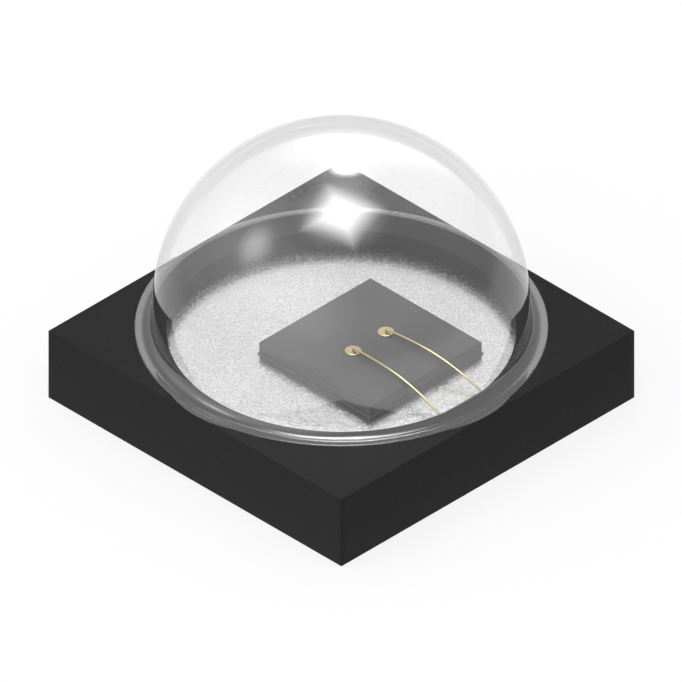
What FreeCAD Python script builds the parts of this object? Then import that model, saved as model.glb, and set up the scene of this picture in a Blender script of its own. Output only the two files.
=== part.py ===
import FreeCAD, Part
import math
import os

# Infrared emitter diode: a black moulded body with a round pocket, two silver-plated leads
# as the pocket's floor, a square chip with two gold bond wires, and one clear cast lens.
# Millimetres, +Z up. The origin is the middle of the solder side.

# Package body
body_side = 3.75
body_height = 0.74
pocket_depth = 0.177

# Lens: a thin flange on the body's top, a cove, a short straight wall and a dome
flange_margin = 0.003        # from the flange's edge to the body's sides
flange_width = 0.162         # from the straight wall out to the flange's edge
flange_thickness = 0.05
flange_edge_radius = 0.03
cove_radius = 0.115
wall_height = 0.295          # from the body's top to the dome's centre
pocket_lip = 0.13            # the flange's hold on the body inside the straight wall

# Leads: flat tops in the pocket, half-etched undersides, solder pads on the bottom
bond_land = 0.128            # the wire lead's width inside the pocket
lead_gap = 0.065
lead_overlap = 0.06          # how far the body covers the leads round the pocket
lead_corner_radius = 0.12
pad_height = 0.25            # from the bottom to the half-etched underside
pad_inset = 0.075            # from the body's sides to the outer pads
pad_lock = 0.15              # how far each lead reaches over its pads at the ends
outer_pad_width = 0.30
pad_spacing = 0.35           # between the middle pad and the outer ones

# Chip
chip_side = 1.425
chip_thickness = 0.115
chip_offset_x = 0.264
chip_offset_y = 0.108
attach_thickness = 0.012
attach_margin = 0.01         # the attach layer's rim round the chip

# Bond wires: a flattened ball, a neck, a low loop and a stitch
wire_diameter = 0.025
ball_diameter = 0.154
ball_height = 0.012
ball_shift = -0.012          # from the chip's centre along X
ball_spacing = 0.42
neck_radius = 0.02
crest_height = 0.052         # of the wire's centre line over the chip, at the loop's highest point
chip_edge_clearance = 0.0135  # under the wire where it passes over the chip's edge
stitch_setback = 0.038       # from the wire lead's edge to where the wire lands
stitch_spacing = 0.53
stitch_length = 0.035
stitch_width = 0.04
stitch_thickness = 0.008

# Levels and radii that follow
half_side = body_side / 2
flange_radius = half_side - flange_margin
dome_radius = flange_radius - flange_width
pocket_radius = dome_radius - pocket_lip
floor_level = body_height - pocket_depth
chip_base = floor_level + attach_thickness
chip_top = chip_base + chip_thickness
lead_half_width = pocket_radius + lead_overlap
lead_end = half_side - pad_inset
wire_lead_edge = pocket_radius - bond_land
die_lead_edge = wire_lead_edge - lead_gap


def block(x_low, x_high, y_low, y_high, z_low, z_high):
    """A box between two corners."""
    corner = FreeCAD.Vector(x_low, y_low, z_low)
    return Part.makeBox(x_high - x_low, y_high - y_low, z_high - z_low, corner)


def etched_block(x_low, x_high, half_width, z_low, z_high):
    """A flat block of leadframe, centred on Y, with its upright corners rounded by the etch."""
    plate = block(x_low, x_high, -half_width, half_width, z_low, z_high)
    upright = [edge for edge in plate.Edges if abs(edge.tangentAt(edge.FirstParameter).z) > 0.9]
    radius = min(lead_corner_radius, 0.4 * (x_high - x_low))
    return plate.makeFillet(radius, upright)


def revolved(edges):
    """A solid turned about Z from a closed outline in the XZ plane."""
    face = Part.Face(Part.Wire(edges))
    return face.revolve(FreeCAD.Vector(0, 0, 0), FreeCAD.Vector(0, 0, 1), 360)


def line(start, end):
    return Part.LineSegment(start, end).toShape()


def arc(start, middle, end):
    return Part.Arc(start, middle, end).toShape()


def make_die_lead():
    """The lead that carries the chip: one plate over the middle pad and one outer pad."""
    plate = etched_block(-lead_end, die_lead_edge, lead_half_width, pad_height, floor_level)
    pad_half_width = lead_half_width - pad_lock
    outer_pad_edge = lead_end - outer_pad_width
    middle_pad_edge = outer_pad_edge - pad_spacing
    outer_pad = etched_block(-lead_end, -outer_pad_edge, pad_half_width, 0, pad_height)
    middle_pad = etched_block(-middle_pad_edge, middle_pad_edge, pad_half_width, 0, pad_height)
    return plate.fuse([outer_pad, middle_pad]).removeSplitter()


def make_wire_lead():
    """The lead on which the bond wires land, with the other outer pad below it."""
    plate = etched_block(wire_lead_edge, lead_end, lead_half_width, pad_height, floor_level)
    outer_pad_edge = lead_end - outer_pad_width
    outer_pad = etched_block(outer_pad_edge, lead_end, lead_half_width - pad_lock, 0, pad_height)
    return plate.fuse(outer_pad).removeSplitter()


def make_body(leads):
    """The moulded body: it grips the leads from all sides and fills the gap between them."""
    body = block(-half_side, half_side, -half_side, half_side, 0, body_height)
    pocket = Part.makeCylinder(pocket_radius, pocket_depth, FreeCAD.Vector(0, 0, floor_level))
    return body.cut([pocket] + leads)


def make_attach():
    """The thin layer between the chip and the die lead."""
    reach = chip_side / 2 + attach_margin
    layer = block(-reach, reach, -reach, reach, floor_level, chip_base)
    layer.translate(FreeCAD.Vector(chip_offset_x, chip_offset_y, 0))
    return layer


def make_chip():
    reach = chip_side / 2
    chip = block(-reach, reach, -reach, reach, chip_base, chip_top)
    chip.translate(FreeCAD.Vector(chip_offset_x, chip_offset_y, 0))
    return chip


def make_ball(centre):
    """The wire's first bond: a ball pressed flat, with a round rim."""
    half_height = ball_height / 2
    rim_start = ball_diameter / 2 - half_height
    top = chip_top + ball_height
    axis_low = FreeCAD.Vector(0, 0, chip_top)
    axis_high = FreeCAD.Vector(0, 0, top)
    rim_low = FreeCAD.Vector(rim_start, 0, chip_top)
    rim_middle = FreeCAD.Vector(ball_diameter / 2, 0, chip_top + half_height)
    rim_high = FreeCAD.Vector(rim_start, 0, top)
    outline = [
        line(axis_low, rim_low),
        arc(rim_low, rim_middle, rim_high),
        line(rim_high, axis_high),
        line(axis_high, axis_low),
    ]
    ball = revolved(outline)
    ball.translate(centre)
    return ball


def crest_setback(fall_height, landing_run):
    """How far the loop's crest lies before the chip's edge.

    The falling arc is level at the crest, has sunk to its clearance at the chip's edge, and
    ends fall_height below the crest and landing_run beyond the edge. One circle through
    these points gives a quadratic equation for the setback.
    """
    edge_drop = crest_height - wire_diameter / 2 - chip_edge_clearance
    later_drop = fall_height - edge_drop
    linear = edge_drop * landing_run
    constant = edge_drop * (landing_run ** 2 + fall_height * later_drop)
    return (linear + math.sqrt(linear ** 2 + later_drop * constant)) / later_drop


def loop_path(chip_edge_run, landing):
    """The wire's centre line in its own upright plane, from inside the ball to the lead.

    The neck turns out of the ball, one long arc climbs to the crest and one falls past the
    chip's edge to the landing. Both arcs are level at the crest, and the climb leaves the
    neck at the angle that lets the climbing arc be tangent at both ends. A straight tail
    carries the centre line on below the lead's top, where the wire is cut off.
    """
    ball_top = chip_top + ball_height
    crest_level = chip_top + crest_height
    setback = crest_setback(crest_level - landing.z, landing.x - chip_edge_run)
    crest = FreeCAD.Vector(chip_edge_run - setback, 0, crest_level)
    climb = 0.0
    for _ in range(30):
        neck_end_x = neck_radius * (1 - math.sin(climb))
        neck_end_z = ball_top + neck_radius * math.cos(climb)
        climb = 2 * math.atan2(crest.z - neck_end_z, crest.x - neck_end_x)

    def neck_point(heading):
        x = neck_radius * (1 - math.sin(heading))
        return FreeCAD.Vector(x, 0, ball_top + neck_radius * math.cos(heading))

    def level_arc_middle(end):
        """The middle of the arc from the crest, where it is level, to an end below it."""
        run = end.x - crest.x
        turn = 2 * math.atan2(crest.z - end.z, abs(run))
        radius = abs(run) / math.sin(turn)
        half = turn / 2
        side = math.copysign(1, run)
        x = crest.x + side * radius * math.sin(half)
        return FreeCAD.Vector(x, 0, crest.z - radius * (1 - math.cos(half)))

    stub_start = FreeCAD.Vector(0, 0, chip_top + ball_height / 2)
    stub_end = FreeCAD.Vector(0, 0, ball_top)
    neck_end = neck_point(climb)
    fall = 2 * math.atan2(crest.z - landing.z, landing.x - crest.x)
    tail = FreeCAD.Vector(math.cos(fall), 0, -math.sin(fall)) * (wire_diameter / math.tan(fall))
    return Part.Wire([
        line(stub_start, stub_end),
        arc(stub_end, neck_point((climb + math.pi / 2) / 2), neck_end),
        arc(neck_end, level_arc_middle(neck_end), crest),
        arc(crest, level_arc_middle(landing), landing),
        line(landing, landing + tail),
    ])


def make_stitch(landing):
    """The wire's second bond: its end pressed into a flat tongue on the lead."""
    start = landing.x - wire_diameter / 2
    end = landing.x + stitch_length
    half_width = stitch_width / 2
    near_left = FreeCAD.Vector(start, wire_diameter / 2, floor_level)
    near_right = FreeCAD.Vector(start, -wire_diameter / 2, floor_level)
    far_left = FreeCAD.Vector(end - half_width, half_width, floor_level)
    far_right = FreeCAD.Vector(end - half_width, -half_width, floor_level)
    tip = FreeCAD.Vector(end, 0, floor_level)
    outline = Part.Wire([
        line(near_right, far_right),
        arc(far_right, tip, far_left),
        line(far_left, near_left),
        line(near_left, near_right),
    ])
    return Part.Face(outline).extrude(FreeCAD.Vector(0, 0, stitch_thickness))


def make_wire(side):
    """A bond wire, with side -1 for the front one and +1 for the back one."""
    ball_place = FreeCAD.Vector(chip_offset_x + ball_shift, chip_offset_y + side * ball_spacing / 2, 0)
    landing_x = wire_lead_edge + stitch_setback
    landing_y = chip_offset_y + side * stitch_spacing / 2
    run_x = landing_x - ball_place.x
    run_y = landing_y - ball_place.y
    run = math.hypot(run_x, run_y)
    chip_edge_run = (chip_offset_x + chip_side / 2 - ball_place.x) * run / run_x
    landing = FreeCAD.Vector(run, 0, floor_level)

    path = loop_path(chip_edge_run, landing)
    start = path.Vertexes[0].Point
    section = Part.Wire(Part.makeCircle(wire_diameter / 2, start, FreeCAD.Vector(0, 0, 1)))
    tube = path.makePipeShell([section], True, False)
    tail_end = path.BoundBox.XMax + wire_diameter
    below = block(0, tail_end, -wire_diameter, wire_diameter, floor_level - 2 * wire_diameter, floor_level)
    wire = tube.cut(below).fuse(make_stitch(landing))
    wire.rotate(FreeCAD.Vector(0, 0, 0), FreeCAD.Vector(0, 0, 1), math.degrees(math.atan2(run_y, run_x)))
    wire.translate(ball_place)
    return wire.fuse(make_ball(ball_place)).removeSplitter()


def make_lens(sealed):
    """The clear casting: it fills the pocket round the chip and the wires, lies on the body
    as a thin flange and rises through a cove and a short wall to the dome."""
    diagonal = math.sqrt(0.5)
    top = body_height
    flange_top = top + flange_thickness
    edge_start = flange_radius - flange_edge_radius
    edge_level = flange_top - flange_edge_radius
    cove_start = dome_radius + cove_radius
    cove_level = flange_top + cove_radius
    dome_centre = top + wall_height

    def at(radius, level):
        return FreeCAD.Vector(radius, 0, level)

    edge_middle = at(edge_start + flange_edge_radius * diagonal, edge_level + flange_edge_radius * diagonal)
    cove_middle = at(cove_start - cove_radius * diagonal, cove_level - cove_radius * diagonal)
    dome_middle = at(dome_radius * diagonal, dome_centre + dome_radius * diagonal)
    apex = at(0, dome_centre + dome_radius)
    outline = [
        line(at(0, floor_level), at(pocket_radius, floor_level)),
        line(at(pocket_radius, floor_level), at(pocket_radius, top)),
        line(at(pocket_radius, top), at(flange_radius, top)),
        line(at(flange_radius, top), at(flange_radius, edge_level)),
        arc(at(flange_radius, edge_level), edge_middle, at(edge_start, flange_top)),
        line(at(edge_start, flange_top), at(cove_start, flange_top)),
        arc(at(cove_start, flange_top), cove_middle, at(dome_radius, cove_level)),
        line(at(dome_radius, cove_level), at(dome_radius, dome_centre)),
        arc(at(dome_radius, dome_centre), dome_middle, apex),
        line(apex, at(0, floor_level)),
    ]
    return revolved(outline).cut(sealed)


die_lead = make_die_lead()
wire_lead = make_wire_lead()
attach = make_attach()
chip = make_chip()
wires = {"bond_wire_front": make_wire(-1), "bond_wire_back": make_wire(1)}

nodes = {
    "package_body": make_body([die_lead, wire_lead]),
    "die_lead": die_lead,
    "wire_lead": wire_lead,
    "die_attach": attach,
    "emitter_chip": chip,
    "lens": make_lens([attach, chip] + list(wires.values())),
}
nodes.update(wires)

os.makedirs("parts", exist_ok=True)
for name, shape in nodes.items():
    shape.exportStep("parts/" + name + ".step")
    print(name, "solids", len(shape.Solids), "valid", shape.isValid(), "volume", round(shape.Volume, 6))
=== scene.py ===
import math
import bpy
import numpy as np
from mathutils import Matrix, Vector


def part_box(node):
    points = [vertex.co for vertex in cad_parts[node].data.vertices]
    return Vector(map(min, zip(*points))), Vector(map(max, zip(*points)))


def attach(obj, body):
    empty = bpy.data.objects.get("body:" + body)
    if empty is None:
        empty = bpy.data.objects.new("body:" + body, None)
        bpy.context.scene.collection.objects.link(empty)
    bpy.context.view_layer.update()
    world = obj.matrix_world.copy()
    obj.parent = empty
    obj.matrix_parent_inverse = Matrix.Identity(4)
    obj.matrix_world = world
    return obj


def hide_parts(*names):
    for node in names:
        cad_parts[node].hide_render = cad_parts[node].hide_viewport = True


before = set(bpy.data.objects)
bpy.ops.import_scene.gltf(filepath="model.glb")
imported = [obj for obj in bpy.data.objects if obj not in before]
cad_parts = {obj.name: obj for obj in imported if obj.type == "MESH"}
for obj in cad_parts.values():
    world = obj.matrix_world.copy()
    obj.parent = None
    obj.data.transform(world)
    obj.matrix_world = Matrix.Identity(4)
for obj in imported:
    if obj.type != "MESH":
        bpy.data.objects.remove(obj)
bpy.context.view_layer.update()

# Infrared emitter diode: the CAD frame gives the places, this file gives the looks.
# Sizes in the dictionaries are millimetres, and everything in the scene is metres.

mm = 0.001
bodyLow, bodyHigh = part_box("package_body")
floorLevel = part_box("die_lead")[1].z
chipLow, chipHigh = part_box("emitter_chip")
chipCentre = (chipLow + chipHigh) / 2
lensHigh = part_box("lens")[1]
print("frame loaded,", len(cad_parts), "nodes")

# Meshes

sharpAngle = 50    # degrees between two faces, above which their edge is shaded sharp

# Rounded edges of the body and the chip. The last two are shares of the edge's radius.
rounding = {
    "steps": 4,             # of each quarter circle
    "insideRow": 1.3,       # a row this far in from the sides keeps the flat faces' shading flat
    "cornerRadius": 1.4,    # more than insideRow, so that no row's corners fold over
}


# Quads between the rows and columns of a grid of points (rows, columns, 3). The columns close
# round the piece. A pole is one point that closes the first or the last row with a fan.
# A grid whose first pole is on top and whose columns run anticlockwise has outward faces.
def gridSurface(grid, firstPole, lastPole):
    rowCount, columnCount = grid.shape[:2]
    row = np.arange(rowCount - 1)[:, None] * columnCount
    nextRow = row + columnCount
    column = np.arange(columnCount)
    after = (column + 1) % columnCount
    quads = np.stack([row + column, nextRow + column, nextRow + after, row + after], -1)
    lastRow = (rowCount - 1) * columnCount
    pole = np.full(columnCount, rowCount * columnCount)
    firstFan = np.stack([pole, column, after], -1)
    lastFan = np.stack([lastRow + after, lastRow + column, pole + 1], -1)
    points = np.concatenate([grid.reshape(-1, 3), [firstPole, lastPole]])
    return points, quads.reshape(-1, 4), np.concatenate([firstFan, lastFan])


# One mesh object from closed surfaces, whose indices are moved up by the points before them.
# It is smooth except where faces meet at more than the sharp angle.
def makePiece(name, surfaces):
    points, quads, fans = zip(*surfaces)
    offsets = np.cumsum([0] + [len(part) for part in points[:-1]])
    allQuads = np.concatenate([part + offset for part, offset in zip(quads, offsets)])
    allFans = np.concatenate([part + offset for part, offset in zip(fans, offsets)])
    mesh = bpy.data.meshes.new(name)
    mesh.from_pydata(np.concatenate(points).tolist(), [], allQuads.tolist() + allFans.tolist())
    mesh.polygons.foreach_set("use_smooth", np.ones(len(mesh.polygons), bool))
    mesh.set_sharp_from_angle(angle=math.radians(sharpAngle))
    mesh.update()
    piece = bpy.data.objects.new(name, mesh)
    bpy.context.scene.collection.objects.link(piece)
    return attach(piece, "root")


# Points of an arc in a plane: centre + radius * (cos, sin) of evenly spaced angles in degrees.
def arcPoints(centreX, centreY, radius, startAngle, endAngle, steps):
    angle = np.radians(np.linspace(startAngle, endAngle, steps + 1))
    return np.stack([centreX + radius * np.cos(angle), centreY + radius * np.sin(angle)], -1)


# Rows of a profile of (radius, level) points carried round an upright axis by the angles: every
# row is centre + radius * (cos, sin), at its own level.
def circleRows(profile, angle, centreX=0.0, centreY=0.0):
    radius, level = profile[:, :1], profile[:, 1:]
    x = centreX + radius * np.cos(angle)
    y = centreY + radius * np.sin(angle)
    return np.stack([x, y, level + 0 * x], -1)


# A profile turned all the way round. Its first and last points lie on the axis and are the poles.
def turned(profile, columnCount, centreX=0.0, centreY=0.0):
    angle = np.linspace(0, 2 * np.pi, columnCount, endpoint=False)
    grid = circleRows(profile[1:-1], angle, centreX, centreY)
    return gridSurface(grid, (centreX, centreY, profile[0, 1]), (centreX, centreY, profile[-1, 1]))


# Points round a rectangle with round corners, anticlockwise: four quarter circles, each
# followed by evenly divided side points up to the next corner.
def roundedOutline(halfX, halfY, cornerRadius, sideSteps):
    quarter = np.linspace(0, np.pi / 2, rounding["steps"] + 1)
    angle = np.radians([0, 90, 180, 270])[:, None] + quarter
    cornerX = np.array([1, -1, -1, 1])[:, None] * (halfX - cornerRadius)
    cornerY = np.array([1, 1, -1, -1])[:, None] * (halfY - cornerRadius)
    x = cornerX + cornerRadius * np.cos(angle)
    y = cornerY + cornerRadius * np.sin(angle)
    corners = np.stack([x, y], -1)
    share = (np.arange(sideSteps) + 1)[:, None] / (sideSteps + 1)
    sides = corners[:, -1:] * (1 - share) + np.roll(corners[:, :1], -1, axis=0) * share
    return np.concatenate([corners, sides], axis=1).reshape(-1, 2)


# Inset and level of the rows down a side. Each rounded edge is a quarter circle, with an inset
# of radius * (1 - cos) and a drop of radius * (1 - sin), and has one more row inside it.
def roundedSide(top, bottom, edgeRadius):
    quarter = np.radians(np.linspace(90, 0, rounding["steps"] + 1))
    inset = np.concatenate([[edgeRadius * rounding["insideRow"]], edgeRadius * (1 - np.cos(quarter))])
    drop = np.concatenate([[0], edgeRadius * (1 - np.sin(quarter))])
    return np.concatenate([inset, inset[::-1]]), np.concatenate([top - drop, bottom + drop[::-1]])


# Rows down the sides of a block: its outline drawn in by each row's inset, at the row's level.
def blockRows(low, high, edgeRadius, sideSteps):
    insets, levels = roundedSide(high.z, low.z, edgeRadius)
    centre, half = (low + high) / 2, (high - low) / 2
    cornerRadius = edgeRadius * rounding["cornerRadius"]
    flat = np.stack([roundedOutline(half.x - inset, half.y - inset, cornerRadius - inset, sideSteps)
                     for inset in insets]) + (centre.x, centre.y)
    return np.concatenate([flat, levels[:, None, None] + 0 * flat[..., :1]], -1)


# Shader nodes

mixSockets = {"FLOAT": (2, 3, 0), "RGBA": (6, 7, 2)}    # the Mix node's two inputs and its result


# Gives sockets their values: another node's output is linked, and a plain value is set.
def feed(tree, sockets, values):
    for socket, value in zip(sockets, values):
        if isinstance(value, bpy.types.NodeSocket):
            tree.links.new(value, socket)
        else:
            socket.default_value = value


# One operation on numbers, held between 0 and 1 where clamp is set.
def mathNode(tree, operation, *values, clamp=False):
    node = tree.nodes.new("ShaderNodeMath")
    node.operation = operation
    node.use_clamp = clamp
    feed(tree, node.inputs, values)
    return node.outputs[0]


# One operation on vectors. Only the dot product's result is a number.
def vectorNode(tree, operation, *values):
    node = tree.nodes.new("ShaderNodeVectorMath")
    node.operation = operation
    feed(tree, node.inputs, values)
    return node.outputs["Value" if operation == "DOT_PRODUCT" else "Vector"]


# |x| and |y| of a vector.
def sidewaysParts(tree, vector):
    parts = tree.nodes.new("ShaderNodeSeparateXYZ")
    tree.links.new(vectorNode(tree, "ABSOLUTE", vector), parts.inputs[0])
    return parts.outputs["X"], parts.outputs["Y"]


# A smooth step of a value between two limits, from the first of two results to the second.
def stepNode(tree, value, limits, results=(0.0, 1.0)):
    node = tree.nodes.new("ShaderNodeMapRange")
    node.interpolation_type = "SMOOTHSTEP"
    sockets = [node.inputs[name] for name in ("Value", "From Min", "From Max", "To Min", "To Max")]
    feed(tree, sockets, (value, *limits, *results))
    return node.outputs["Result"]


# first * (1 - share) + second * share, for two numbers or, as RGBA, for two colours.
def mixNode(tree, share, first, second, kind="FLOAT"):
    node = tree.nodes.new("ShaderNodeMix")
    node.data_type = kind
    firstInput, secondInput, result = mixSockets[kind]
    feed(tree, (node.inputs[0], node.inputs[firstInput], node.inputs[secondInput]), (share, first, second))
    return node.outputs[result]


# Noise from 0 to 1 at the given places.
def noiseNode(tree, place, scale, detail):
    node = tree.nodes.new("ShaderNodeTexNoise")
    feed(tree, (node.inputs["Vector"], node.inputs["Scale"], node.inputs["Detail"]), (place, scale, detail))
    return node.outputs["Fac"]


# Finishes

grainMix = {
    "fineDetail": 2.0,
    "coarseDetail": 1.0,
    "coarseScale": 0.23,    # of the fine noise's scale
    "coarseShare": 0.18,
    "mean": 0.5,            # of the noise, which the contrast spreads it about
}


# Fine grain on Object coordinates: (noise - mean) * contrast + mean, of two noise sizes mixed
# into one, held between 0 and 1. It picks between two colours and two roughnesses and stands
# as the height for a bump.
def makeGrainGroup():
    group = bpy.data.node_groups.new("fineGrain", "ShaderNodeTree")
    for name, kind in (("Scale", "Float"), ("Contrast", "Float"),
                       ("Low Color", "Color"), ("High Color", "Color"),
                       ("Low Roughness", "Float"), ("High Roughness", "Float")):
        group.interface.new_socket(name, in_out="INPUT", socket_type="NodeSocket" + kind)
    for name, kind in (("Color", "Color"), ("Roughness", "Float"), ("Height", "Float")):
        group.interface.new_socket(name, in_out="OUTPUT", socket_type="NodeSocket" + kind)
    given = group.nodes.new("NodeGroupInput").outputs
    result = group.nodes.new("NodeGroupOutput").inputs
    place = group.nodes.new("ShaderNodeTexCoord").outputs["Object"]
    fine = noiseNode(group, place, given["Scale"], grainMix["fineDetail"])
    coarseScale = mathNode(group, "MULTIPLY", given["Scale"], grainMix["coarseScale"])
    coarse = noiseNode(group, place, coarseScale, grainMix["coarseDetail"])
    blended = mixNode(group, grainMix["coarseShare"], fine, coarse)
    centred = mathNode(group, "SUBTRACT", blended, grainMix["mean"])
    spread = mathNode(group, "MULTIPLY_ADD", centred, given["Contrast"], grainMix["mean"], clamp=True)
    colour = mixNode(group, spread, given["Low Color"], given["High Color"], "RGBA")
    rough = mixNode(group, spread, given["Low Roughness"], given["High Roughness"])
    feed(group, (result["Color"], result["Roughness"], result["Height"]), (colour, rough, spread))
    return group


fineGrain = makeGrainGroup()


# A Principled material. The values are a dictionary of socket name and plain value.
def newMaterial(name, values):
    material = bpy.data.materials.new(name)
    material.use_nodes = True
    shader = material.node_tree.nodes["Principled BSDF"]
    for socket, value in values.items():
        shader.inputs[socket].default_value = value
    return material, material.node_tree, shader


# A material with the grain group in front of its colour, its roughness and, where the finish
# has a bump, its normal.
def makeFinish(name, finish):
    material, tree, shader = newMaterial(name, finish["sockets"])
    grain = tree.nodes.new("ShaderNodeGroup")
    grain.node_tree = fineGrain
    values = {
        "Scale": finish["scale"], "Contrast": finish["contrast"],
        "Low Color": (*finish["lowColour"], 1), "High Color": (*finish["highColour"], 1),
        "Low Roughness": finish["roughness"][0], "High Roughness": finish["roughness"][1],
    }
    for socket, value in values.items():
        grain.inputs[socket].default_value = value
    tree.links.new(grain.outputs["Color"], shader.inputs["Base Color"])
    tree.links.new(grain.outputs["Roughness"], shader.inputs["Roughness"])
    if finish["bump"]:
        bump = tree.nodes.new("ShaderNodeBump")
        bump.inputs["Distance"].default_value = finish["bump"] * mm
        tree.links.new(grain.outputs["Height"], bump.inputs["Height"])
        tree.links.new(bump.outputs["Normal"], shader.inputs["Normal"])
    return material


# Scales are in grains per metre, colours are linear and bumps are millimetres.
blackFinish = {
    "sockets": {"Specular IOR Level": 0.055},
    "scale": 60000, "contrast": 3.0, "roughness": (0.32, 0.4), "bump": 0.0003,
    "lowColour": (0.0200, 0.0200, 0.0203), "highColour": (0.0245, 0.0245, 0.0248),
}
silverFinish = {
    "sockets": {"Metallic": 1.0},
    "scale": 120000, "contrast": 8.0, "roughness": (0.20, 0.28), "bump": 0.0001,
    "lowColour": (0.58, 0.58, 0.58), "highColour": (0.75, 0.75, 0.75),
}
attachFinish = {
    "sockets": {"Specular IOR Level": 0.1},
    "scale": 120000, "contrast": 3.0, "roughness": (0.45, 0.6), "bump": 0.0002,
    "lowColour": (0.205, 0.205, 0.205), "highColour": (0.235, 0.235, 0.235),
}
chipFinish = {
    "sockets": {"Specular IOR Level": 0.1},
    "scale": 3000, "contrast": 1.2, "roughness": (0.36, 0.42), "bump": 0.0,
    "lowColour": (0.085, 0.085, 0.086), "highColour": (0.092, 0.092, 0.093),
}
# The chip's sides: a rough sawn grain, in a colour about twice the top's, which is painted light on the
# sides
sawnLitSideFinish = {
    "sockets": {"Specular IOR Level": 0.1},
    "scale": 90000, "contrast": 1.5, "roughness": (0.45, 0.55), "bump": 0.0001,
    "lowColour": (0.185, 0.185, 0.185), "highColour": (0.208, 0.208, 0.208),
}
goldFinish = {
    "sockets": {"Metallic": 1.0},
    "scale": 70000, "contrast": 2.0, "roughness": (0.08, 0.14), "bump": 0.0,
    "lowColour": (0.60, 0.52, 0.31), "highColour": (0.64, 0.55, 0.34),
}
mouldedBlack = makeFinish("mouldedBlack", blackFinish)
silverPlating = makeFinish("silverPlating", silverFinish)
attachLayer = makeFinish("attachLayer", attachFinish)
chipGrey = makeFinish("chipGrey", chipFinish)
sawnLitSideSilicon = makeFinish("sawnLitSideSilicon", sawnLitSideFinish)
bondGold = makeFinish("bondGold", goldFinish)

# The plating round the chip: distances from the chip's sides, and the contrast up to the start.
smoothZone = {"start": 0.06, "end": 0.12, "contrast": 1.0}


# The plating's grain is weaker round the chip. Its contrast grows by a smooth step of the
# distance from the chip's sides, max(|x - centreX|, |y - centreY|) - half a side.
def smoothRoundChip(material, farContrast):
    tree = material.node_tree
    halfSide = (chipHigh.x - chipLow.x) / 2
    limits = (halfSide + smoothZone["start"] * mm, halfSide + smoothZone["end"] * mm)
    place = tree.nodes.new("ShaderNodeTexCoord").outputs["Object"]
    offset = vectorNode(tree, "SUBTRACT", place, (chipCentre.x, chipCentre.y, 0))
    furthest = mathNode(tree, "MAXIMUM", *sidewaysParts(tree, offset))
    contrast = stepNode(tree, furthest, limits, (smoothZone["contrast"], farContrast))
    grain = next(node for node in tree.nodes if node.type == "GROUP")
    tree.links.new(contrast, grain.inputs["Contrast"])


smoothRoundChip(silverPlating, silverFinish["contrast"])

# The picture shows the inside straight through the casting, with no bending, and a clear
# mirror image of the lamps on its outside: an unbending casting with a glossy coat.
clearFinish = {
    "Base Color": (0.95, 0.95, 0.95, 1), "Transmission Weight": 1.0, "IOR": 1.0, "Roughness": 0.0,
    "Coat Weight": 1.0, "Coat IOR": 1.9, "Coat Roughness": 0.01,
}
casting = newMaterial("clearCasting", clearFinish)[0]
print("finishes made")

# Moulded body

body = {
    "pocketRadius": 1.58,
    "pocketRim": 0.004,      # rounding of the pocket's rim
    "edge": 0.006,           # rounding of the block's edges
    "floorDrop": 0.002,      # the moulding under the leads' tops, so that they show
    "padDrop": 0.002,        # the moulding over the solder pads' faces
    "sideSteps": 62,         # points along each side between its corners
    "rimSteps": 4,
    "topRows": 3,            # rows between the pocket's rim and the square outline
    "middleRow": 0.5,        # share of the way out where the floor and the bottom have a row
}


# The rows run from the pocket's middle out to its wall, up the wall, over the top, where the
# circle turns into the square outline, down the sides and in under the bottom.
def makeBody():
    low = bodyLow + Vector((0, 0, body["padDrop"] * mm))
    floor = floorLevel - body["floorDrop"] * mm
    rim, radius, middleRow = body["pocketRim"] * mm, body["pocketRadius"] * mm, body["middleRow"]
    outer = blockRows(low, bodyHigh, body["edge"] * mm, body["sideSteps"])
    angle = np.arctan2(outer[0, :, 1], outer[0, :, 0])
    wall = arcPoints(radius + rim, bodyHigh.z - rim, rim, 180, 90, body["rimSteps"])
    inner = circleRows(np.concatenate([[(radius * middleRow, floor), (radius, floor)], wall]), angle)
    share = np.linspace(0, 1, body["topRows"] + 2)[1:-1, None, None]
    between = inner[-1] * (1 - share) + outer[0] * share
    under = outer[-1:] * (middleRow, middleRow, 1)
    grid = np.concatenate([inner, between, outer, under])
    piece = makePiece("mouldedBody", [gridSurface(grid, (0, 0, floor), (0, 0, low.z))])
    piece.data.materials.append(mouldedBlack)
    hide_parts("package_body")


makeBody()

# Chip

chip = {
    "edge": 0.004,
    "sideSteps": 3,
}


# A plate with slightly rounded edges. Its sides, between the two roundings, have a rough sawn grain and a
# colour lighter than the top, which is painted light on the sides.
def makeChip():
    edge = chip["edge"] * mm
    grid = blockRows(chipLow, chipHigh, edge, chip["sideSteps"])
    top, bottom = (chipCentre.x, chipCentre.y, chipHigh.z), (chipCentre.x, chipCentre.y, chipLow.z)
    piece = makePiece("emitterChip", [gridSurface(grid, top, bottom)])
    piece.data.materials.append(chipGrey)
    piece.data.materials.append(sawnLitSideSilicon)
    middles = np.zeros(len(piece.data.polygons) * 3)
    piece.data.polygons.foreach_get("center", middles)
    level = middles[2::3]
    # Side faces between the roundings take the finish with the painted light
    sawnLitSide = (level < chipHigh.z - edge) & (level > chipLow.z + edge)
    piece.data.polygons.foreach_set("material_index", sawnLitSide.astype(np.int32))
    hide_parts("emitter_chip")


makeChip()

# Bond wires

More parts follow.
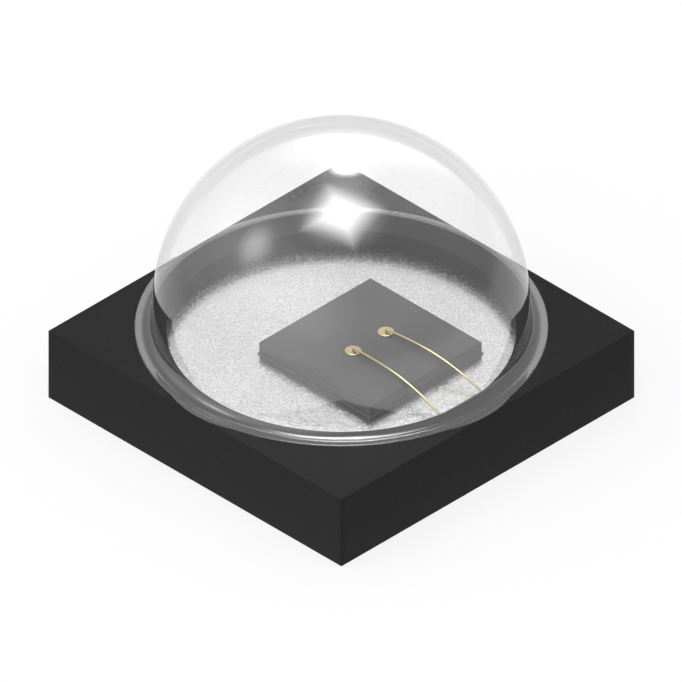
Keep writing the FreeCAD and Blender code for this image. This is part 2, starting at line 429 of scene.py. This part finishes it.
wire = {
    "diameter": 0.025,
    "ballDiameter": 0.154,
    "ballHeight": 0.012,
    "ballInsideRow": 0.94,     # share of the ball's flat where a row keeps its shading flat
    "ballShift": -0.012,       # from the chip's centre along X
    "ballSpacing": 0.42,
    "neckRadius": 0.02,
    "crestHeight": 0.052,      # of the centre line over the chip
    "edgeClearance": 0.0135,   # under the wire at the chip's edge
    "landingX": 1.49,
    "stitchSpacing": 0.53,
    "footRadius": 0.06,
    "stitchLength": 0.035,
    "stitchWidth": 0.04,
    "stitchThickness": 0.008,
    "flattenStart": 2.2,       # from the wire's end, in stitch lengths
    "flattenLength": 1.4,      # the way over which it flattens, in stitch lengths
    "endShares": (0.92, 0.6),  # of the stitch's width, at its last two rows
    "rounds": 30,              # of the search for the climb's heading
    "rows": {"neck": 12, "climb": 24, "fall": 40, "foot": 10, "stitch": 5},
    "sides": 28,
    "ballColumns": 64,
    "ballRimSteps": 8,
}


# How far before the chip's edge the crest lies. The fall is one circle that is level at the
# crest, so (run^2 + drop^2) / (2 * drop) is its radius both at the chip's edge and at the
# landing, and the run from the crest to the edge is the root of that quadratic.
def crestSetback(edgeDrop, fall, beyond):
    laterDrop = fall - edgeDrop
    linear = edgeDrop * beyond
    constant = laterDrop * edgeDrop * (beyond ** 2 + fall * laterDrop)
    return (linear + math.sqrt(linear ** 2 + constant)) / laterDrop


# The heading at which the neck ends and the climb starts. An arc that ends level has a chord at
# half its first heading, and as the neck's end moves with that heading, it is found in rounds.
def climbHeading(rise, crestRun, neck):
    heading = 0.0
    for _ in range(wire["rounds"]):
        heading = 2 * math.atan2(rise - neck * math.cos(heading), crestRun - neck * (1 - math.sin(heading)))
    return heading


# Rows of (run, level, heading) along an arc: centre + radius * (-sin, cos) of the heading, which
# goes evenly from its first value to its last. A radius below 0 is an arc that turns upwards.
def headingArc(centreRun, centreLevel, radius, firstHeading, lastHeading, rowCount):
    heading = np.linspace(firstHeading, lastHeading, rowCount)
    run = centreRun - radius * np.sin(heading)
    level = centreLevel + radius * np.cos(heading)
    return np.stack([run, level, heading], -1)


# The centre line in its own upright plane as (run, level, heading): out of the ball, round the
# neck, up to the level crest, down past the chip's edge, round the foot and along the stitch.
# All stretches but the first and the last are arcs that meet with the same heading.
def loopLine(edgeRun, landingRun):
    rows, neck, foot = wire["rows"], wire["neckRadius"] * mm, wire["footRadius"] * mm
    ballTop = chipHigh.z + wire["ballHeight"] * mm
    crestLevel = chipHigh.z + wire["crestHeight"] * mm
    stitchLevel = floorLevel + wire["stitchThickness"] * mm / 2
    fall = crestLevel - floorLevel
    edgeDrop = (wire["crestHeight"] - wire["diameter"] / 2 - wire["edgeClearance"]) * mm
    crestRun = edgeRun - crestSetback(edgeDrop, fall, landingRun - edgeRun)
    climb = climbHeading(crestLevel - ballTop, crestRun, neck)
    climbRadius = (crestRun - neck * (1 - math.sin(climb))) / math.sin(climb)
    fallRadius = ((landingRun - crestRun) ** 2 + fall ** 2) / (2 * fall)
    steepest = math.acos(1 - (crestLevel - stitchLevel) / (fallRadius + foot))
    footEnd = crestRun + (fallRadius + foot) * math.sin(steepest)
    share = np.arange(1, rows["stitch"] + 1) / rows["stitch"]
    stitchRun = footEnd + share * wire["stitchLength"] * mm
    return np.concatenate([
        [(0, chipHigh.z + wire["ballHeight"] * mm / 2, math.pi / 2)],
        headingArc(neck, ballTop, neck, math.pi / 2, climb, rows["neck"]),
        headingArc(crestRun, crestLevel - climbRadius, climbRadius, climb, 0, rows["climb"])[1:],
        headingArc(crestRun, crestLevel - fallRadius, fallRadius, 0, -steepest, rows["fall"])[1:],
        headingArc(footEnd, stitchLevel + foot, -foot, -steepest, 0, rows["foot"])[1:],
        np.stack([stitchRun, stitchLevel + 0 * share, 0 * share], -1),
    ])


# An ellipse carried along the line. It is round up to the foot and then widens and flattens
# into the stitch, by a smooth step along the run. Its side axis points to the right.
def carriedWire(line, place, turn):
    run, level, heading = line.T
    radius, stitchLength = wire["diameter"] * mm / 2, wire["stitchLength"] * mm
    flattenStart = run[-1] - wire["flattenStart"] * stitchLength
    share = np.clip((run - flattenStart) / (wire["flattenLength"] * stitchLength), 0, 1)
    share = share * share * (3 - 2 * share)
    halfWidth = radius + (wire["stitchWidth"] * mm / 2 - radius) * share
    halfHeight = radius + (wire["stitchThickness"] * mm / 2 - radius) * share
    halfWidth[-2:] *= wire["endShares"]
    angle = np.linspace(0, 2 * np.pi, wire["sides"], endpoint=False)
    across = -halfWidth[:, None] * np.cos(angle)
    upward = halfHeight[:, None] * np.sin(angle)
    along = run[:, None] - upward * np.sin(heading)[:, None]
    x = place[0] + along * math.cos(turn) - across * math.sin(turn)
    y = place[1] + along * math.sin(turn) + across * math.cos(turn)
    z = level[:, None] + upward * np.cos(heading)[:, None]
    grid = np.stack([x, y, z], -1)
    return gridSurface(grid, grid[0].mean(0), grid[-1].mean(0))


# A wire and its flattened ball: a turned disc with a half round rim. The side is -1 for the
# front wire and 1 for the back one, and both run apart towards their stitches.
def makeWire(name, node, side):
    placeX = chipCentre.x + wire["ballShift"] * mm
    placeY = chipCentre.y + side * wire["ballSpacing"] * mm / 2
    runX = wire["landingX"] * mm - placeX
    runY = chipCentre.y + side * wire["stitchSpacing"] * mm / 2 - placeY
    run = math.hypot(runX, runY)
    line = loopLine((chipHigh.x - placeX) * run / runX, run)
    tube = carriedWire(line, (placeX, placeY), math.atan2(runY, runX))
    half = wire["ballHeight"] * mm / 2
    flat = wire["ballDiameter"] * mm / 2 - half
    top = chipHigh.z + 2 * half
    rim = arcPoints(flat, chipHigh.z + half, half, 90, -90, wire["ballRimSteps"])
    profile = np.concatenate([[(0, top), (flat * wire["ballInsideRow"], top)], rim, [(0, chipHigh.z)]])
    ball = turned(profile, wire["ballColumns"], placeX, placeY)
    piece = makePiece(name, [tube, ball])
    piece.data.materials.append(bondGold)
    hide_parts(node)


makeWire("bondWireFront", "bond_wire_front", -1)
makeWire("bondWireBack", "bond_wire_back", 1)
print("body, chip and wires made")

# Cast lens

lens = {
    "flangeMargin": 0.003,       # from the flange's edge to the body's sides
    "flangeWidth": 0.162,        # from the straight wall out to the flange's edge
    "flangeThickness": 0.05,
    "flangeEdge": 0.011,         # rounding of the flange's edge
    "cove": 0.115,               # radius of the hollow between the wall and the flange
    "sunk": 0.001,               # the casting's underside lies this far under what it covers
    "domeSteps": 96,
    "coveSteps": 48,
    "edgeSteps": 20,
    "columns": 256,
}


# The profile starts at the dome's top: a quarter circle, the straight wall, the cove's hollow
# quarter circle, the flange's top and round edge, then in under the flange and down the pocket.
# The underside is sunk, so that light meets one surface there and not two.
def makeLens():
    sunk = lens["sunk"] * mm
    under, pocketFloor = bodyHigh.z - sunk, floorLevel - sunk
    flangeRadius = bodyHigh.x - lens["flangeMargin"] * mm
    domeRadius = flangeRadius - lens["flangeWidth"] * mm
    domeCentre = lensHigh.z - domeRadius
    flangeTop = bodyHigh.z + lens["flangeThickness"] * mm
    edge, cove = lens["flangeEdge"] * mm, lens["cove"] * mm
    dome = arcPoints(0, domeCentre, domeRadius, 90, 0, lens["domeSteps"])
    hollow = arcPoints(domeRadius + cove, flangeTop + cove, cove, 180, 270, lens["coveSteps"])
    outerEdge = arcPoints(flangeRadius - edge, flangeTop - edge, edge, 90, 0, lens["edgeSteps"])
    pocket = body["pocketRadius"] * mm + sunk
    inside = [(flangeRadius, under), (pocket, under), (pocket, pocketFloor),
              (pocket / 2, pocketFloor), (0, pocketFloor)]
    surface = turned(np.concatenate([dome, hollow, outerEdge, inside]), lens["columns"])
    piece = makePiece("castLens", [surface])
    piece.data.materials.append(casting)
    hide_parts("lens")
    return piece


castLens = makeLens()

# The leads and the attach layer keep their CAD meshes

for node, material in (("die_lead", silverPlating), ("wire_lead", silverPlating),
                       ("die_attach", attachLayer)):
    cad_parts[node].data.materials.clear()
    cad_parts[node].data.materials.append(material)
print("lens and leads made")

# Stage, light and camera

studio = {
    "floorSize": 18.0,
    "floorColour": 0.2,
    "floorLift": 0.8,              # light that the floor gives to the camera and through the casting
    "mirroredFloor": 0.75,         # light that the floor gives to reflections
    "lampDistance": 20.0,
    "lampTarget": 0.3,             # height over the body's top that the lamps look at
    "lampSetback": 0.02,           # share by which each lamp stands further back than the one before
    "brightAzimuth": -110.0,       # the side of the room that is brighter
    "brightSpread": (0.1, 0.8),    # cosine from that side at which the brightness starts and is full
    "lowRoom": (0.68, 1.2),        # room light near the horizon, on the dull side and the bright one
    "highRoom": (0.85, 1.7),       # room light higher up
    "horizon": (-0.12, 0.02),      # sine of the elevation over which floor light turns to low room
    "highStart": (0.05, 0.5),      # the same for low room to high room
    "throughRoom": (0.4, 0.96),    # room light that reaches the inside, near the horizon and higher
    "throughStart": (0.1, 0.45),   # sine of the elevation at which that light grows and is full
    "throughFloor": 1.0,           # light from below the horizon that reaches the inside
    "throughHorizon": (0.0, 0.1),  # sine of the elevation over which it turns to room light
}


# A plain square floor that takes the shadow. It gives its own light only to rays from the
# camera, from reflections and through the casting, so it lights nothing by itself.
def makeFloor():
    half = studio["floorSize"] * mm / 2
    mesh = bpy.data.meshes.new("floor")
    corners = [(-half, -half, 0), (half, -half, 0), (half, half, 0), (-half, half, 0)]
    mesh.from_pydata(corners, [], [(0, 1, 2, 3)])
    floor = bpy.data.objects.new("floor", mesh)
    bpy.context.scene.collection.objects.link(floor)
    plain = {
        "Base Color": (*[studio["floorColour"]] * 3, 1), "Roughness": 1.0, "Specular IOR Level": 0.0,
        "Emission Color": (1, 1, 1, 1),
    }
    material, tree, shader = newMaterial("paleFloor", plain)
    path = tree.nodes.new("ShaderNodeLightPath")
    seen = mixNode(tree, path.outputs["Is Camera Ray"], 0.0, studio["floorLift"])
    mirrored = mixNode(tree, path.outputs["Is Glossy Ray"], seen, studio["mirroredFloor"])
    lift = mixNode(tree, path.outputs["Is Transmission Ray"], mirrored, studio["floorLift"])
    tree.links.new(lift, shader.inputs["Emission Strength"])
    mesh.materials.append(material)


# The world is white for the camera. Reflections see a room that is brighter on one side and
# higher up, and the inside of the casting gets an even light. The height is the sine of the
# elevation, and the side is the cosine from the bright azimuth.
def makeWorld():
    world = bpy.data.worlds.new("paleStudio")
    bpy.context.scene.world = world
    world.use_nodes = True
    tree = world.node_tree
    background = tree.nodes["Background"]
    background.inputs["Color"].default_value = (1, 1, 1, 1)
    direction = tree.nodes.new("ShaderNodeTexCoord").outputs["Generated"]
    azimuth = math.radians(studio["brightAzimuth"])
    side = vectorNode(tree, "DOT_PRODUCT", direction, (math.cos(azimuth), math.sin(azimuth), 0))
    parts = tree.nodes.new("ShaderNodeSeparateXYZ")
    tree.links.new(direction, parts.inputs[0])
    height = parts.outputs["Z"]
    path = tree.nodes.new("ShaderNodeLightPath")
    bright = stepNode(tree, side, studio["brightSpread"])
    lowRoom = mixNode(tree, bright, *studio["lowRoom"])
    highRoom = mixNode(tree, bright, *studio["highRoom"])
    floorLight = studio["mirroredFloor"] + studio["floorColour"]
    low = mixNode(tree, stepNode(tree, height, studio["horizon"]), floorLight, lowRoom)
    room = mixNode(tree, stepNode(tree, height, studio["highStart"]), low, highRoom)
    reach = mixNode(tree, stepNode(tree, height, studio["throughStart"]), *studio["throughRoom"])
    aboveHorizon = stepNode(tree, height, studio["throughHorizon"])
    through = mixNode(tree, aboveHorizon, studio["throughFloor"], reach)
    indoor = mixNode(tree, path.outputs["Is Transmission Ray"], room, through)
    shown = mixNode(tree, path.outputs["Is Camera Ray"], indoor, 1.0)
    tree.links.new(shown, background.inputs["Strength"])


# The lamps light only the casting and what lies in it: direction in degrees, size in
# millimetres. The curve is the power of the superellipse that the light fades along: 2 is
# round, under 1 is a pointed star. Mirrored lamps show as highlights on the casting, and those
# marked inside shine through it.
lamps = {
    "overheadBox": {"azimuth": 0, "elevation": 90, "turn": -27, "size": 21.0, "curve": 0.92,
                    "radiance": 9.5, "softness": 1.0, "mirrored": True, "inside": False},
    "overheadGlow": {"azimuth": 0, "elevation": 90, "turn": 0, "size": 21.0, "curve": 2.0,
                     "radiance": 3.0, "softness": 1.0, "mirrored": True, "inside": False},
    "wireLamp": {"azimuth": 180, "elevation": 76, "turn": 0, "size": 18.0, "curve": 2.0,
                 "radiance": 3.6, "softness": 0.5, "mirrored": False, "inside": True},
    "backLamp": {"azimuth": 131.7, "elevation": 55.6, "turn": 0, "size": 6.4, "curve": 2.0,
                 "radiance": 12.0, "softness": 0.8, "mirrored": True, "inside": True},
    "backHalo": {"azimuth": 132, "elevation": 62, "turn": 0, "size": 14.0, "curve": 2.0,
                 "radiance": 1.3, "softness": 1.0, "mirrored": True, "inside": False},
    "backGlow": {"azimuth": 133, "elevation": 36, "turn": 0, "size": 23.0, "curve": 2.0,
                 "radiance": 1.4, "softness": 1.0, "mirrored": True, "inside": False},
    "fillLamp": {"azimuth": -130, "elevation": 41.5, "turn": 0, "size": 11.0, "curve": 2.0,
                 "radiance": 2.6, "softness": 1.0, "mirrored": True, "inside": False},
}


# A lamp is brightest in its middle and fades by a smooth step over the outer part of its half
# width. The distance from the middle is (|x|^curve + |y|^curve)^(1/curve), where x and y are
# twice the place across the lamp less one, so that they run from -1 to 1.
def softenLamp(lamp, curve, softness):
    lamp.use_nodes = True
    tree = lamp.node_tree
    place = tree.nodes.new("ShaderNodeNewGeometry").outputs["Parametric"]
    fromMiddle = vectorNode(tree, "MULTIPLY_ADD", place, (2, 2, 0), (-1, -1, 0))
    powers = [mathNode(tree, "POWER", part, curve) for part in sidewaysParts(tree, fromMiddle)]
    distance = mathNode(tree, "POWER", mathNode(tree, "ADD", *powers), 1 / curve)
    strength = stepNode(tree, distance, (1.0, 1.0 - softness))
    tree.links.new(strength, tree.nodes["Emission"].inputs["Strength"])


# A square area lamp that looks at the lens. Its power is radiance * pi * area, and its size
# grows with the share that it is set back by.
def makeLamp(name, values, shown, setback):
    lamp = bpy.data.lights.new(name, "AREA")
    lamp.size = values["size"] * mm * setback
    lamp.energy = values["radiance"] * math.pi * lamp.size ** 2
    softenLamp(lamp, values["curve"], values["softness"])
    holder = bpy.data.objects.new(name, lamp)
    around, up = math.radians(values["azimuth"]), math.radians(values["elevation"])
    away = Vector((math.cos(around) * math.cos(up), math.sin(around) * math.cos(up), math.sin(up)))
    target = Vector((0, 0, bodyHigh.z + studio["lampTarget"] * mm))
    holder.location = target + away * studio["lampDistance"] * mm * setback
    holder.rotation_euler = away.to_track_quat("Z", "Y").to_euler()
    holder.rotation_euler.rotate_axis("Z", math.radians(values["turn"]))
    holder.visible_diffuse = False
    holder.visible_glossy = values["mirrored"]
    holder.visible_transmission = values["inside"]
    holder.light_linking.receiver_collection = shown
    bpy.context.scene.collection.objects.link(holder)


makeFloor()
makeWorld()
shiny = bpy.data.collections.new("shiny")
shiny.objects.link(castLens)
for step, (lampName, values) in enumerate(lamps.items()):
    makeLamp(lampName, values, shiny, 1 + studio["lampSetback"] * step)

view = {
    "azimuth": 45.0,
    "elevation": 35.264,
    "frameWidth": 6.1652,
    "right": -0.0035,    # the picture's middle from the body's top centre
    "up": -0.0929,
    "distance": 60.0,
    "nearest": 1.0,      # the camera's clipping
    "furthest": 1000.0,
}


# A camera without perspective, set back from the picture's middle along the view's direction.
def makeCamera():
    around, tilt = math.radians(view["azimuth"]), math.radians(view["elevation"])
    back = Vector((math.sin(around) * math.cos(tilt), -math.cos(around) * math.cos(tilt), math.sin(tilt)))
    right = Vector((math.cos(around), math.sin(around), 0))
    up = back.cross(right)
    middle = Vector((0, 0, bodyHigh.z)) + (right * view["right"] + up * view["up"]) * mm
    lensData = bpy.data.cameras.new("camera")
    lensData.type = "ORTHO"
    lensData.ortho_scale = view["frameWidth"] * mm
    lensData.clip_start = view["nearest"] * mm
    lensData.clip_end = view["furthest"] * mm
    camera = bpy.data.objects.new("camera", lensData)
    camera.location = middle + back * view["distance"] * mm
    camera.rotation_euler = back.to_track_quat("Z", "Y").to_euler()
    bpy.context.scene.collection.objects.link(camera)
    bpy.context.scene.camera = camera


makeCamera()
bpy.context.scene.view_settings.view_transform = "Standard"
print("studio made")
